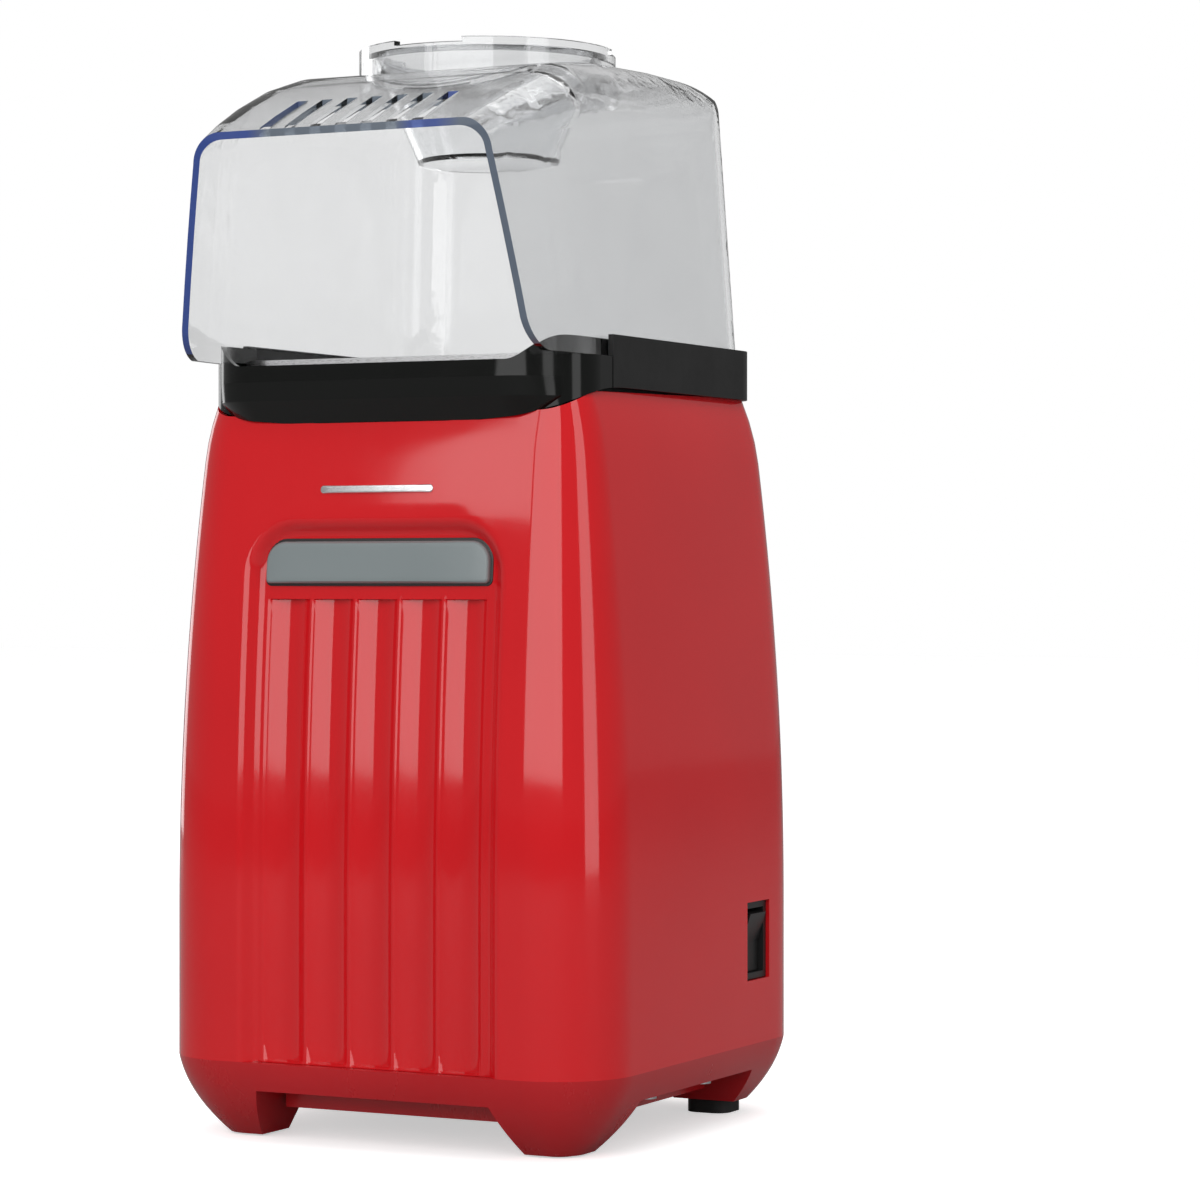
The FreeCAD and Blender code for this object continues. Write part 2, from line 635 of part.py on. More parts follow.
def switch_rocker():
    """Rocker with two angled faces, on a pin across the case; it rests in the off position."""
    side = [(58.8, -3.0), (58.8, 3.0), (62.6, 8.2), (65.9, 8.2), (64.7, 0.0), (65.9, -8.2), (62.6, -8.2)]
    rocker = polygon([(x, SWITCH_Y - 5.1, SWITCH_Z + z) for x, z in side]).extrude(Vector(0, 10.2, 0))
    rocker = rocker.fuse(rod_y(1.2, SWITCH_Y - 6.3, SWITCH_Y + 6.3, 62.0, SWITCH_Z))
    return turned(rocker, 9.0, Vector(62.0, SWITCH_Y, SWITCH_Z), Vector(0, 1, 0))


def switch_terminals():
    """Three blades at the back of the switch."""
    return [box(41.0, 48.95, SWITCH_Y - 2.4, SWITCH_Y + 2.4, z - 0.4, z + 0.4)
            for z in (SWITCH_Z - 6.0, SWITCH_Z, SWITCH_Z + 6.0)]


def cord_gland():
    """Bushing in the rear wall; its narrow outer bore grips the supply cord."""
    gland = rod_y(8.0, 67.25, GLAND_Y, 0, GLAND_Z).fuse(rod_y(5.6, 52.0, THROAT_Y, 0, GLAND_Z))
    return gland.cut(rod_y(3.6, 50, 75, 0, GLAND_Z)).cut(rod_y(4.4, 50, THROAT_Y, 0, GLAND_Z))


def cord_clamp():
    """Bar that would hold the cord down between two posts."""
    bar = box(-13.0, 13.0, 42.0, 48.0, 31.0, 35.0)
    groove = rod_y(3.6, 40, 50, 0, GLAND_Z)
    holes = [cylinder(1.35, x, 45.0, 30, 37) for x in (-9.0, 9.0)]
    return bar.cut(fuse([groove] + holes))


def supply_leads():
    """Wires from the terminal block to the switch and the board."""
    to_switch = [(0.0, 32.5, 21.1), (0.0, 32.5, 28.0), (6.0, 35.5, 37.0), (20.0, 39.5, 43.0),
                 (33.0, 37.0, 44.0), (40.4, SWITCH_Y, 44.0)]
    to_board = [(-8.0, 32.5, 21.1), (-8.0, 32.5, 27.0), (-14.0, 27.0, 32.0), (-25.0, 18.0, 30.0),
                (-32.0, 13.0, 22.0), (-34.0, 12.8, 14.3)]
    return [lead(to_switch, 1.1), lead(to_board, 1.1)]


def motor_leads():
    """Wires from the board to the motor."""
    return [lead([(-27.0, s * 6.0, 13.75), (-27.0, s * 6.0, 18.0), (-22.0, s * 9.0, 21.0),
                  (-14.0, s * 9.5, 20.0), (-11.0, s * 8.5, 22.7)], 0.9) for s in (-1, 1)]


def heater_leads():
    """Wires from beside the heater down to the board."""
    runs = [[(-57.2, s * 3.0, 111.0), (-58.2, s * 4.0, 96.0), (-56.0, s * 9.0, 76.0),
             (-52.0, s * 14.0, 55.0), (-46.0, s * 17.0, 36.0), (-43.5, s * 14.0, 22.0),
             (-38.0, s * 12.0, 15.0)] for s in (-1, 1)]
    return [lead(run, 0.9) for run in runs]


def hood_half(z):
    """Half width of the hood at height z."""
    return HOOD_HALF - 3.0 * (z - LEDGE_Z) / 57.0


def hood_front(z):
    """Half width of the hood's mouth at height z."""
    return 51.4 - 0.158 * (z - LEDGE_Z)


ROOF = ((-84.0, 265.2, 8.0), (-72.0, 271.2, 9.5), (-60.6, 276.4, 12.0), (-46.0, 282.4, 15.0),
        (-35.4, 286.0, 17.5), (-15.0, 289.0, 19.0), (20.0, 290.4, 19.0), (58.0, 290.4, 19.0))


def hood_section(y, top, shoulder, wall):
    """Upright cross-section of the hood at y, as seen from the front."""
    low = LEDGE_Z - wall - 0.5 if wall else LEDGE_Z
    t = min(1.0, max(0.0, (-48.0 - y) / 36.0))
    widths = []
    for z in (low, top - shoulder):
        full = hood_half(z) + 0.4
        widths.append(full + (hood_front(z) - full) * t ** 1.15 - wall)
    peak = top - wall
    knee = top - shoulder
    bend = shoulder - wall * 0.5
    flat = widths[1] - bend
    mid = (flat + bend * math.sin(math.pi / 4), knee + (peak - knee) * math.sin(math.pi / 4))
    right = [Vector(widths[0], y, low), Vector(widths[1], y, knee)]
    arc = Part.BSplineCurve()
    arc.interpolate([Vector(widths[1], y, knee), Vector(mid[0], y, mid[1]), Vector(flat, y, peak)],
                    InitialTangent=Vector(-0.05, 0, 1) * 20, FinalTangent=Vector(-1, 0, 0) * 20)
    back = Part.BSplineCurve()
    back.interpolate([Vector(-flat, y, peak), Vector(-mid[0], y, mid[1]), Vector(-widths[1], y, knee)],
                     InitialTangent=Vector(-1, 0, 0) * 20, FinalTangent=Vector(-0.05, 0, -1) * 20)
    return Part.Wire([Part.makeLine(*right), arc.toShape(),
                      Part.makeLine(Vector(flat, y, peak), Vector(-flat, y, peak)), back.toShape(),
                      Part.makeLine(Vector(-widths[1], y, knee), Vector(-widths[0], y, low)),
                      Part.makeLine(Vector(-widths[0], y, low), Vector(widths[0], y, low))])


def hood_block(wall):
    """Solid hood, drawn in by a wall thickness for the inside."""
    body = Part.makeLoft([hood_section(y, top, shoulder, wall) for y, top, shoulder in ROOF], True, True)
    low_half = hood_half(200.0) - wall
    high_half = hood_half(292.0) - wall
    radius = 15.0 - wall
    plan = Part.makeLoft([plan_wire(low_half, -95.0, low_half, 5.0, radius, 200.0),
                          plan_wire(high_half, -95.0, high_half, 5.0, radius, 292.0)], True, True)
    rear = hood_half(271.0) + 0.3 - wall
    back = Part.Arc(Vector(0, rear, 271.0), Vector(0, rear - 5.6, 271.0 + 13.6 - wall * 0.7),
                    Vector(0, rear - 19.0, 290.4 - wall)).toShape()
    outline = [back, Part.makeLine(Vector(0, rear - 19.0, 290.4 - wall), Vector(0, -95, 290.4 - wall)),
               Part.makeLine(Vector(0, -95, 290.4 - wall), Vector(0, -95, 190)),
               Part.makeLine(Vector(0, -95, 190), Vector(0, rear + 14, 190)),
               Part.makeLine(Vector(0, rear + 14, 190), Vector(0, rear, 271.0))]
    roof = Part.Face(Part.Wire(outline)).extrude(Vector(140, 0, 0))
    roof.translate(Vector(-70, 0, 0))
    return body.common(plan).common(roof)


def mouth_cutter():
    """Everything in front of the mouth's leaning edge, which sweeps back at its foot."""
    sweep = [Vector(-80, -74.6, 216.0), Vector(-80, -71.0, 210.2), Vector(-80, -62.0, LEDGE_Z)]
    foot = Part.Arc(*sweep).toShape()
    top = Vector(-80, MOUTH_Y, 264.6)
    edges = [foot, Part.makeLine(Vector(-80, -62.0, LEDGE_Z), Vector(-80, -62.0, 190)),
             Part.makeLine(Vector(-80, -62.0, 190), Vector(-80, -100, 190)),
             Part.makeLine(Vector(-80, -100, 190), Vector(-80, -100, 300)),
             Part.makeLine(Vector(-80, -100, 300), Vector(-80, MOUTH_Y, 300)),
             Part.makeLine(Vector(-80, MOUTH_Y, 300), top),
             Part.makeLine(top, Vector(-80, -74.6, 216.0))]
    return Part.Face(Part.Wire(edges)).extrude(Vector(160, 0, 0))


def hood():
    """Clear cover with slots in its roof, a leaning mouth and a notched neck for the cup."""
    shell = hood_block(0).cut(hood_block(HOOD_WALL))
    neck = revolve([(31.5, 282.0), (NECK_R, 282.0), (NECK_R, TOP_Z), (33.2, TOP_Z), (33.2, 291.5),
                    (31.5, 291.5)])
    shape = shell.cut(cylinder(31.5, 0, 0, 260, 300)).fuse(neck)
    notch = revolve([(30, TOP_Z - 1.3), (40, TOP_Z - 1.3), (40, 300), (30, 300)], 34)
    cuts = [turned(notch, angle - 17) for angle in (-90, 30, 150)]
    cuts += [box(7.6 * i - 1.6, 7.6 * i + 1.6, -79.3, -60.6, 255, 285) for i in range(-3, 4)]
    cuts.append(mouth_cutter())
    return shape.cut(fuse(cuts))


def measuring_cup():
    """Cup that closes the neck and measures the corn."""
    return revolve([(0, 264.0), (19.0, 264.0), (31.1, 291.6), (32.9, 291.6), (32.9, 293.2), (30.2, 293.2),
                    (29.5, 291.6), (18.0, 265.7), (0, 265.7)])


def main():
    """Write every node."""
    upper = above_seam()
    write("housing_shell", [housing_shell(upper)])
    write("collar", [collar(upper)])
    plain = [base_skirt, bottom_plate, name_plate, accent_bar, chute_pan, popping_chamber, chamber_gasket,
             heat_shield, fan_housing, fan_impeller, fan_nut, motor_can, motor_end_cap, motor_shaft,
             rotor_core, commutator, motor_bracket, rectifier_board, terminal_block, thermostat,
             thermal_fuse, switch_body, switch_rocker, cord_gland, cord_clamp, hood, measuring_cup]
    for make in plain:
        write(make.__name__, [make()])
    groups = [front_foot_pads, rear_feet, heater_frame, heater_coil, motor_magnets, motor_bushes,
              motor_brushes, bracket_screws, motor_screws, rectifier_diodes, switch_terminals,
              supply_leads, motor_leads, heater_leads, skirt_screws, tray_screws, leg_screws,
              clamp_screws, pan_screws]
    for make in groups:
        write(make.__name__, make())


main()
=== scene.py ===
"""Looks of a hot-air popcorn maker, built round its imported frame.

Sizes are millimetres in the classes and become metres when a mesh is made. The popping
chamber's upright axis is the working centre. Each mesh is made round it and then moved
to its place in the frame, which is worked out from the cord gland.
"""
from __future__ import annotations

import json
import logging
import math
from dataclasses import dataclass
from enum import Enum
from typing import Callable, Iterable, Sequence

import bpy
from mathutils import Matrix, Vector

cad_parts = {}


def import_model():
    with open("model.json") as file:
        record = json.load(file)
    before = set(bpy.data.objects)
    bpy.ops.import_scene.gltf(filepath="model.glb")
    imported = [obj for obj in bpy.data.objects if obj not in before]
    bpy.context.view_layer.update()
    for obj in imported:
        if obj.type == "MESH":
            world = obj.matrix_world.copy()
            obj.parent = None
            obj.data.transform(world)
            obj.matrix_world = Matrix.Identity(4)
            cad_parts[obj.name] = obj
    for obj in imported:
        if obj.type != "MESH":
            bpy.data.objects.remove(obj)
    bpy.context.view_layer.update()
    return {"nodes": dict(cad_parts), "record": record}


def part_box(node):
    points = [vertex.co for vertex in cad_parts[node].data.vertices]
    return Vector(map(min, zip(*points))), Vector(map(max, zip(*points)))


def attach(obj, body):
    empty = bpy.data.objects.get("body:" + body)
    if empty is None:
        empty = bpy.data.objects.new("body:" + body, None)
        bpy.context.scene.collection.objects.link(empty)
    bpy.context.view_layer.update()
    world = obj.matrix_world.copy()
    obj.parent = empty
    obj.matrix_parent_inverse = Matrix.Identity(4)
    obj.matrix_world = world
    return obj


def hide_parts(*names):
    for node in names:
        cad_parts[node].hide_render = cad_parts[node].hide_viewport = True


LOG = logging.getLogger("popcorn_maker")
MM = 0.001
GLAND_REACH = 69.7
FLAT = 0.99
Point = tuple[float, float, float]
Test = Callable[[Vector, Vector], bool]


class Body(Enum):
    """The moving bodies of the frame."""

    BASE = "base"
    ROTOR = "rotor"
    ROCKER = "rocker"
    HOOD = "hood"
    CUP = "cup"


def smooth(t: float) -> float:
    """Ease from 0 to 1 with flat ends.

    Args:
        t: How far along, held to 0..1.

    Returns:
        The eased share.
    """
    t = min(1.0, max(0.0, t))
    return t * t * (3.0 - 2.0 * t)


# ---------------------------------------------------------------- node graphs


class Graph:
    """A material's node tree with short calls for adding and joining nodes."""

    def __init__(self, name: str) -> None:
        """Make an empty node material.

        Args:
            name: The material's name.
        """
        self.material = bpy.data.materials.new(name)
        self.material.use_nodes = True
        self.tree = self.material.node_tree
        self.shader = self.tree.nodes["Principled BSDF"]
        self.place = self.add("ShaderNodeTexCoord").outputs["Object"]

    def add(self, kind: str, **settings: object) -> bpy.types.Node:
        """Add a node and set its properties.

        Args:
            kind: The node's type name.
            **settings: Property names and values.

        Returns:
            The new node.
        """
        node = self.tree.nodes.new(kind)
        for key, value in settings.items():
            setattr(node, key, value)
        return node

    def join(self, source: bpy.types.NodeSocket, target: bpy.types.NodeSocket) -> None:
        """Link two sockets.

        Args:
            source: The output socket.
            target: The input socket.
        """
        self.tree.links.new(source, target)

    def noise(self, scale: float, detail: float = 3.0, rough: float = 0.5,
              stretch: Point = (1.0, 1.0, 1.0)) -> bpy.types.NodeSocket:
        """Noise on object coordinates.

        Args:
            scale: Cells per metre.
            detail: Octaves.
            rough: Strength of the finer octaves.
            stretch: Scale along each axis.

        Returns:
            The noise value's socket.
        """
        mapping = self.add("ShaderNodeMapping")
        mapping.inputs["Scale"].default_value = stretch
        self.join(self.place, mapping.inputs["Vector"])
        node = self.add("ShaderNodeTexNoise")
        node.inputs["Scale"].default_value = scale
        node.inputs["Detail"].default_value = detail
        node.inputs["Roughness"].default_value = rough
        self.join(mapping.outputs["Vector"], node.inputs["Vector"])
        return node.outputs["Fac"]

    def span(self, value: bpy.types.NodeSocket, low: float, high: float,
             from_low: float = 0.3, from_high: float = 0.7) -> bpy.types.NodeSocket:
        """Map a value's middle stretch to low..high.

        Args:
            value: The socket to map.
            low: Result at from_low.
            high: Result at from_high.
            from_low: Lower end of the source stretch.
            from_high: Upper end of the source stretch.

        Returns:
            The mapped value's socket.
        """
        node = self.add("ShaderNodeMapRange")
        node.inputs["From Min"].default_value = from_low
        node.inputs["From Max"].default_value = from_high
        node.inputs["To Min"].default_value = low
        node.inputs["To Max"].default_value = high
        self.join(value, node.inputs["Value"])
        return node.outputs["Result"]

    def blend(self, factor: bpy.types.NodeSocket, first: Sequence[float],
              second: Sequence[float]) -> bpy.types.NodeSocket:
        """Mix two colours by a factor.

        Args:
            factor: 0 gives the first colour and 1 the second.
            first: The first colour.
            second: The second colour.

        Returns:
            The mixed colour's socket.
        """
        node = self.add("ShaderNodeMix", data_type="RGBA")
        node.inputs["A"].default_value = (*first, 1.0)
        node.inputs["B"].default_value = (*second, 1.0)
        self.join(factor, node.inputs["Factor"])
        return node.outputs["Result"]

    def bump(self, *layers: tuple[bpy.types.NodeSocket, float, float]) -> None:
        """Stack bump layers on the shader.

        Args:
            *layers: Height socket, strength and distance in metres of each layer.
        """
        below = None
        for height, strength, distance in layers:
            node = self.add("ShaderNodeBump")
            node.inputs["Strength"].default_value = strength
            node.inputs["Distance"].default_value = distance
            self.join(height, node.inputs["Height"])
            if below is not None:
                self.join(below, node.inputs["Normal"])
            below = node.outputs["Normal"]
        self.join(below, self.shader.inputs["Normal"])


@dataclass(frozen=True)
class Moulded:
    """Opaque moulded plastic or rubber."""

    name: str
    colour: Point
    shade: Point
    roughness: tuple[float, float]
    grain: float = 0.06
    grain_scale: float = 2600.0
    ripple: float = 0.02
    coat: float = 0.0
    specular: float = 0.5

    def build(self) -> bpy.types.Material:
        """Make the material: faint colour drift, fine grain, long ripples and uneven gloss."""
        g = Graph(self.name)
        drift = g.noise(16.0, 2.0)
        g.join(g.blend(g.span(drift, 0.0, 1.0), self.colour, self.shade), g.shader.inputs["Base Color"])
        scuffs = g.noise(55.0, 5.0, 0.65, (1.0, 1.0, 0.35))
        g.join(g.span(scuffs, *self.roughness), g.shader.inputs["Roughness"])
        g.shader.inputs["Specular IOR Level"].default_value = self.specular
        g.shader.inputs["Coat Weight"].default_value = self.coat
        g.shader.inputs["Coat Roughness"].default_value = 0.04
        grain = g.noise(self.grain_scale, 2.0)
        g.bump((g.noise(22.0, 1.0), self.ripple, 0.002), (grain, self.grain, 0.00006))
        return g.material


@dataclass(frozen=True)
class Metal:
    """Bare metal, brushed or drawn."""

    name: str
    colour: Point
    shade: Point
    roughness: tuple[float, float]
    brush: Point = (1.0, 1.0, 30.0)

    def build(self) -> bpy.types.Material:
        """Make the material: stretched scratches, blotchy tone and uneven roughness."""
        g = Graph(self.name)
        lines = g.noise(420.0, 4.0, 0.6, self.brush)
        blotch = g.noise(60.0, 3.0)
        g.join(g.blend(g.span(blotch, 0.0, 1.0), self.colour, self.shade), g.shader.inputs["Base Color"])
        g.join(g.span(lines, *self.roughness), g.shader.inputs["Roughness"])
        g.shader.inputs["Metallic"].default_value = 1.0
        g.bump((lines, 0.12, 0.00008))
        return g.material


@dataclass(frozen=True)
class Clear:
    """Transparent plastic."""

    name: str
    colour: Point
    shade: Point
    roughness: tuple[float, float]
    transmission: float = 1.0
    ior: float = 1.49

    def build(self) -> bpy.types.Material:
        """Make the material: clear body with moulding ripples and faint haze."""
        g = Graph(self.name)
        haze = g.noise(38.0, 4.0, 0.6)
        g.join(g.blend(g.span(haze, 0.0, 1.0), self.colour, self.shade), g.shader.inputs["Base Color"])
        g.join(g.span(haze, *self.roughness), g.shader.inputs["Roughness"])
        g.shader.inputs["Transmission Weight"].default_value = self.transmission
        g.shader.inputs["IOR"].default_value = self.ior
        g.bump((g.noise(26.0, 1.5), 0.05, 0.0015), (g.noise(900.0, 2.0), 0.02, 0.00005))
        return g.material


@dataclass(frozen=True)
class TwoZone:
    """Moulded plastic that is polished in front of a line and satin behind it."""

    name: str
    gloss: Point
    satin: Point
    split_y: float

    def build(self) -> bpy.types.Material:
        """Make the material: colour and roughness change over a millimetre at the line."""
        g = Graph(self.name)
        apart = g.add("ShaderNodeSeparateXYZ")
        g.join(g.place, apart.inputs["Vector"])
        behind = g.span(apart.outputs["Y"], 0.0, 1.0, self.split_y - 0.0005, self.split_y + 0.0005)
        g.join(g.blend(behind, self.gloss, self.satin), g.shader.inputs["Base Color"])
        scuffs = g.noise(70.0, 5.0, 0.65)
        polished = g.span(scuffs, 0.08, 0.16)
        g.shader.inputs["Specular IOR Level"].default_value = 0.3
        rough = g.add("ShaderNodeMix")
        g.join(behind, rough.inputs["Factor"])
        g.join(polished, rough.inputs["A"])
        g.join(g.span(scuffs, 0.36, 0.48), rough.inputs["B"])
        g.join(rough.outputs["Result"], g.shader.inputs["Roughness"])
        grain = g.noise(2400.0, 2.0)
        height = g.add("ShaderNodeMath", operation="MULTIPLY")
        g.join(grain, height.inputs[0])
        g.join(behind, height.inputs[1])
        g.bump((g.noise(24.0, 1.0), 0.02, 0.002), (height.outputs["Value"], 0.2, 0.00006))
        return g.material


@dataclass(frozen=True)
class PaintedEdgeGlow:
    """Cut edge of clear plastic, with painted light: the blue light that it gathers on one side is painted
    into its colour, and it stays grey elsewhere.
    """

    name: str
    blue: Point
    grey: Point
    stops: tuple[tuple[float, float], ...]

    def build(self) -> bpy.types.Material:
        """Make the material: painted blue glow and grey in stretches along X, with sawn streaks."""
        g = Graph(self.name)
        split = g.add("ShaderNodeSeparateXYZ")
        g.join(g.place, split.inputs["Vector"])
        ramp = g.add("ShaderNodeValToRGB")
        across = g.span(split.outputs["X"], 0.0, 1.0, -0.06, 0.06)
        g.join(across, ramp.inputs["Fac"])
        ramp.color_ramp.elements[0].position = 0.0
        ramp.color_ramp.elements[0].color = (1.0, 1.0, 1.0, 1.0)
        ramp.color_ramp.elements[1].position = 1.0
        ramp.color_ramp.elements[1].color = (0.15, 0.15, 0.15, 1.0)
        for position, amount in self.stops:
            stop = ramp.color_ramp.elements.new(position)
            stop.color = (amount, amount, amount, 1.0)
        g.join(g.blend(ramp.outputs["Color"], self.grey, self.blue), g.shader.inputs["Base Color"])
        streaks = g.noise(160.0, 3.0, 0.6, (1.0, 1.0, 0.2))
        g.join(g.span(streaks, 0.12, 0.3), g.shader.inputs["Roughness"])
        g.shader.inputs["IOR"].default_value = 1.49
        g.shader.inputs["Transmission Weight"].default_value = 0.25
        g.bump((streaks, 0.15, 0.0002))
        return g.material


RED = Moulded("red gloss", (0.60, 0.006, 0.010), (0.56, 0.005, 0.009), (0.05, 0.10), 0.03, coat=0.2)
RED_SKIRT = Moulded("red skirt", (0.50, 0.010, 0.015), (0.44, 0.008, 0.012), (0.20, 0.30), 0.10)
BLACK_SATIN = Moulded("black satin", (0.010, 0.010, 0.010), (0.014, 0.014, 0.014), (0.32, 0.45), 0.16)
COLLAR_BLACK = TwoZone("collar black", (0.0035, 0.004, 0.0035), (0.009, 0.009, 0.009), -0.0318)
GREY_PLATE = Moulded("grey plate", (0.17, 0.20, 0.205), (0.21, 0.24, 0.245), (0.30, 0.42), 0.14)
FAN_PLASTIC = Moulded("fan nylon", (0.02, 0.02, 0.022), (0.03, 0.03, 0.03), (0.4, 0.55), 0.25)
NATURAL = Moulded("natural plastic", (0.55, 0.53, 0.46), (0.48, 0.46, 0.40), (0.4, 0.55), 0.2)
MICA = Moulded("mica sheet", (0.42, 0.36, 0.24), (0.52, 0.47, 0.34), (0.25, 0.5), 0.3, 700.0)
SILICONE = Moulded("silicone", (0.5, 0.09, 0.05), (0.42, 0.08, 0.05), (0.45, 0.6), 0.15)
RUBBER = Moulded("black rubber", (0.012, 0.012, 0.012), (0.02, 0.02, 0.02), (0.6, 0.8), 0.4, 1500.0)
BOARD = Moulded("circuit board", (0.16, 0.11, 0.03), (0.20, 0.14, 0.05), (0.35, 0.5), 0.2)
CARBON = Moulded("carbon", (0.03, 0.03, 0.03), (0.05, 0.05, 0.05), (0.5, 0.7), 0.4)
MAGNET = Moulded("ferrite", (0.03, 0.03, 0.035), (0.05, 0.05, 0.05), (0.45, 0.65), 0.5)
WIRE_BLUE = Moulded("blue wire", (0.02, 0.06, 0.35), (0.02, 0.05, 0.28), (0.3, 0.45), 0.2)
WIRE_WHITE = Moulded("braided wire", (0.62, 0.62, 0.58), (0.5, 0.5, 0.46), (0.6, 0.8), 0.8, 1400.0)
WIRE_RED = Moulded("red wire", (0.35, 0.01, 0.01), (0.28, 0.01, 0.01), (0.3, 0.45), 0.2)
ALUMINIUM = Metal("drawn aluminium", (0.80, 0.80, 0.81), (0.70, 0.70, 0.71), (0.22, 0.38),
                  (1.0, 1.0, 40.0))
STEEL = Metal("plated steel", (0.60, 0.60, 0.61), (0.50, 0.50, 0.52), (0.25, 0.42))
BRIGHT_STEEL = Metal("ground steel", (0.72, 0.72, 0.74), (0.66, 0.66, 0.68), (0.10, 0.20))
NICHROME = Metal("nichrome wire", (0.36, 0.33, 0.30), (0.26, 0.22, 0.20), (0.35, 0.5))
BRASS = Metal("brass", (0.72, 0.52, 0.20), (0.62, 0.43, 0.16), (0.2, 0.35))
BRONZE = Metal("sintered bronze", (0.45, 0.28, 0.14), (0.36, 0.22, 0.11), (0.4, 0.55))
SILVER = Metal("silver foil", (0.83, 0.83, 0.84), (0.76, 0.76, 0.78), (0.18, 0.28))
CLEAR = Clear("clear plastic", (0.76, 0.765, 0.77), (0.74, 0.745, 0.75), (0.02, 0.05))
CUP_CLEAR = Clear("clear cup plastic", (0.93, 0.935, 0.94), (0.91, 0.915, 0.92), (0.02, 0.05))
# Painted light: a blue glow painted into the base colour of the hood's cut edges, by place along X.
CLEAR_EDGE_PAINTED_GLOW = PaintedEdgeGlow("painted edge glow", (0.045, 0.085, 0.32), (0.15, 0.18, 0.20),
                     ((0.27, 1.0), (0.32, 0.1), (0.64, 0.1), (0.68, 1.0), (0.74, 1.0), (0.80, 0.15)))

SLOT_FINISH = {
    "red_gloss": RED, "red_skirt": RED_SKIRT, "black_plastic": COLLAR_BLACK, "black_trim": BLACK_SATIN,
    "clear_plastic": CLEAR, "grey_plate": GREY_PLATE, "silver_accent": SILVER, "aluminium": ALUMINIUM,
    "rubber": RUBBER, "silicone": SILICONE, "mica": MICA, "resistance_wire": NICHROME,
    "fan_plastic": FAN_PLASTIC, "housing_plastic": NATURAL, "steel": STEEL, "bright_steel": BRIGHT_STEEL,
    "magnet": MAGNET, "bronze": BRONZE, "brass": BRASS, "carbon": CARBON, "board": BOARD,
    "wire_blue": WIRE_BLUE, "wire_white": WIRE_WHITE, "wire_red": WIRE_RED,
}


Finish = Moulded | TwoZone | Metal | Clear | PaintedEdgeGlow


class Paintbox:
    """Builds each finish once and hands it out."""

    def __init__(self) -> None:
        """Start with nothing built."""
        self.made: dict[str, bpy.types.Material] = {}

    def get(self, finish: Finish) -> bpy.types.Material:
        """Give a finish's material, making it on first use.

        Args:
            finish: The finish wanted.

        Returns:
            Its material.
        """
        if finish.name not in self.made:
            self.made[finish.name] = finish.build()
        return self.made[finish.name]

    def dress(self, obj: bpy.types.Object, *finishes: Finish) -> None:
        """Give an object's material slots their finishes, and keep its faces' slot numbers.

        Args:
            obj: The mesh object.
            *finishes: One finish per slot, in the order of the slot numbers.
        """
        numbers = [face.material_index for face in obj.data.polygons]
        obj.data.materials.clear()
        for finish in finishes:
            obj.data.materials.append(self.get(finish))
        obj.data.polygons.foreach_set("material_index", [min(n, len(finishes) - 1) for n in numbers])


# ---------------------------------------------------------------- modelling helpers


def fresh(name: str) -> bpy.types.Object:
    """Name the primitive just added.

    Args:
        name: The name of the object and its mesh.

    Returns:
        The object.
    """
    obj = bpy.context.object
    obj.name = name
    obj.data.name = name
    return obj


def clear_selection() -> None:
    """Deselect every object."""
    for obj in bpy.context.selected_objects:
        obj.select_set(False)


def block(name: str, low: Point, high: Point) -> bpy.types.Object:
    """Add a cube primitive between two corners, in millimetres, with its place in its mesh.

    Args:
        name: The piece's name.
        low: Lowest corner.
        high: Highest corner.

    Returns:
        The new object, at the origin.
    """
    clear_selection()
    middle = [(a + b) / 2 * MM for a, b in zip(low, high)]
    bpy.ops.mesh.primitive_cube_add(size=1.0, location=middle)
    obj = fresh(name)
    obj.scale = [(b - a) * MM for a, b in zip(low, high)]
    bpy.ops.object.transform_apply(location=True, rotation=True, scale=True)
    return obj


def edit(obj: bpy.types.Object, mode: str = "FACE") -> None:
    """Make one object active, with none of its elements selected.

    Args:
        obj: The mesh object.
        mode: The kind of element to select later: FACE, EDGE or VERT.
    """
    clear_selection()
    bpy.context.view_layer.objects.active = obj
    obj.select_set(True)
    bpy.ops.object.mode_set(mode="EDIT")
    bpy.ops.mesh.select_mode(type=mode)
    bpy.ops.mesh.select_all(action="DESELECT")
    bpy.ops.object.mode_set(mode="OBJECT")


def operate(action: Callable[[], object]) -> None:
    """Run an edit-mode operator on the active object's selection.

    Args:
        action: Calls the operator.
    """
    bpy.ops.object.mode_set(mode="EDIT")
    action()
    bpy.ops.object.mode_set(mode="OBJECT")


def pick_faces(obj: bpy.types.Object, test: Test) -> None:
    """Select the faces whose centre (millimetres) and normal pass a test.

    Args:
        obj: The mesh object.
        test: Takes the centre and the normal.
    """
    edit(obj, "FACE")
    for face in obj.data.polygons:
        face.select = bool(test(face.center / MM, face.normal))


def pick_edges(obj: bpy.types.Object, test: Test) -> None:
    """Select the edges whose two ends (millimetres) pass a test.

    Args:
        obj: The mesh object.
        test: Takes the two ends.
    """
    edit(obj, "EDGE")
    points = [v.co / MM for v in obj.data.vertices]
    for line in obj.data.edges:
        line.select = bool(test(points[line.vertices[0]], points[line.vertices[1]]))


def looking(axis: int, sign: float) -> Test:
    """Make a face test for one flat side of a block.

    Args:
        axis: 0, 1 or 2.
        sign: 1 for the high side and -1 for the low side.

    Returns:
        A test for pick_faces.
    """
    return lambda centre, facing: sign * facing[axis] > FLAT


def cut_at(obj: bpy.types.Object, places: Iterable[float], axis: int, keep: Test | None = None) -> None:
    """Bisect a mesh, or some of its faces, by planes square to an axis.

    Args:
        obj: The mesh object.
        places: Where each plane stands, in millimetres.
        axis: 0, 1 or 2.
        keep: Which faces are cut, as for pick_faces; all of them without it.
    """
    normal = [0.0, 0.0, 0.0]
    normal[axis] = 1.0
    for place in places:
        pick_faces(obj, keep or (lambda centre, facing: True))
        point = [n * place * MM for n in normal]
        operate(lambda: bpy.ops.mesh.bisect(plane_co=point, plane_no=normal))


